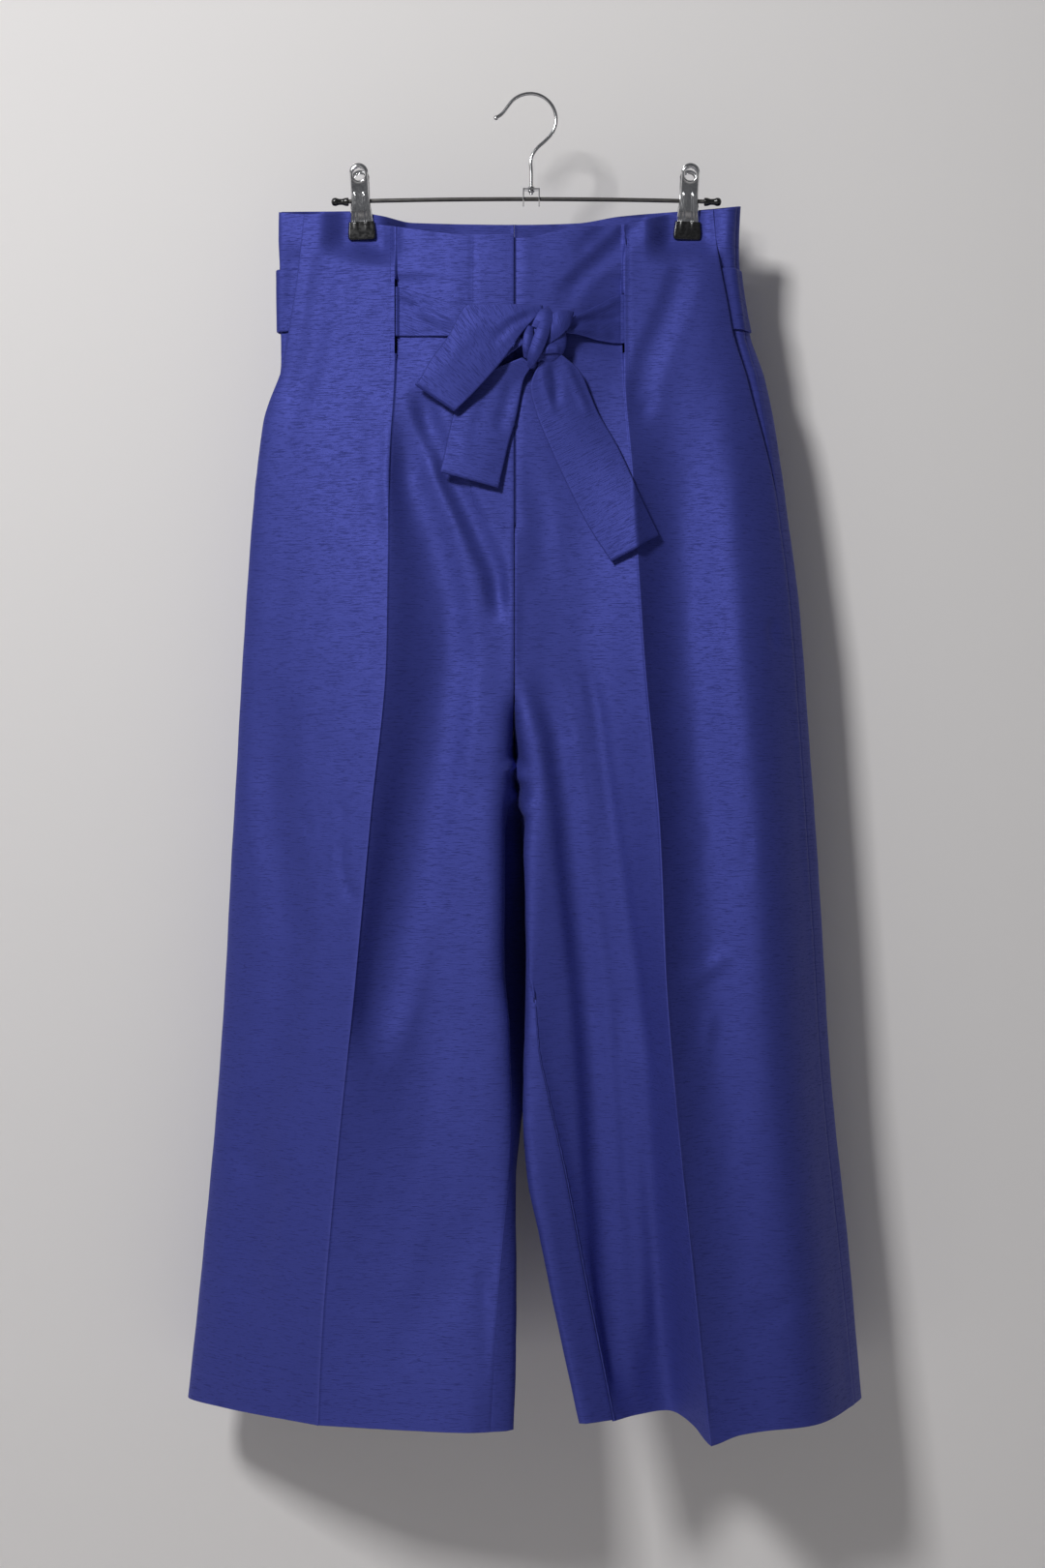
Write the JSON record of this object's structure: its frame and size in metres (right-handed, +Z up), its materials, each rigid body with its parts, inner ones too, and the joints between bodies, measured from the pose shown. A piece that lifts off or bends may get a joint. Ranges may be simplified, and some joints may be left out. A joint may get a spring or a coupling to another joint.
{
  "type": "trousers and hanger",
  "caption": "Cropped wide-leg paperbag trousers in silk, tied with their own belt in a half bow, hung by the waist from a metal clip hanger.",
  "frame": {"origin": "inner crown of the hanger's hook, where it hangs", "axes": "+Z up, the trousers' front faces -Y, the wearer's left is +X"},
  "size_m": [0.523, 0.16, 1.0203],
  "materials": {
    "silk": "crisp slubbed silk, soft sheen",
    "silk_back": "crisp slubbed silk, soft sheen",
    "silk_belt": "crisp slubbed silk, soft sheen",
    "bright_steel": "polished chrome",
    "grey_bar": "dark brushed steel",
    "black_rubber": "glossy black dip"
  },
  "bodies": {
    "root": {"front_panel_r": "silk", "back_panel_r": "silk_back", "pocket_side_r": "silk", "front_panel_l": "silk", "back_panel_l": "silk_back", "pocket_side_l": "silk", "belt_round": "silk_belt", "belt_front_r": "silk_belt", "belt_front_l": "silk_belt", "belt_tail_r": "silk_belt", "belt_tail_l": "silk_belt", "belt_loop": "silk_belt", "belt_knot": "silk_belt", "hanger_hook": "bright_steel", "hanger_saddle": "bright_steel", "hanger_bar": "grey_bar", "end_cap_r": "black_rubber", "end_cap_l": "black_rubber", "clip_r_front": "bright_steel", "clip_r_jaw_front": "black_rubber", "clip_r_back": "bright_steel", "clip_r_jaw_back": "black_rubber", "clip_r_spring": "bright_steel", "clip_l_front": "bright_steel", "clip_l_jaw_front": "black_rubber", "clip_l_back": "bright_steel", "clip_l_jaw_back": "black_rubber", "clip_l_spring": "bright_steel"}
  },
  "joints": []
}
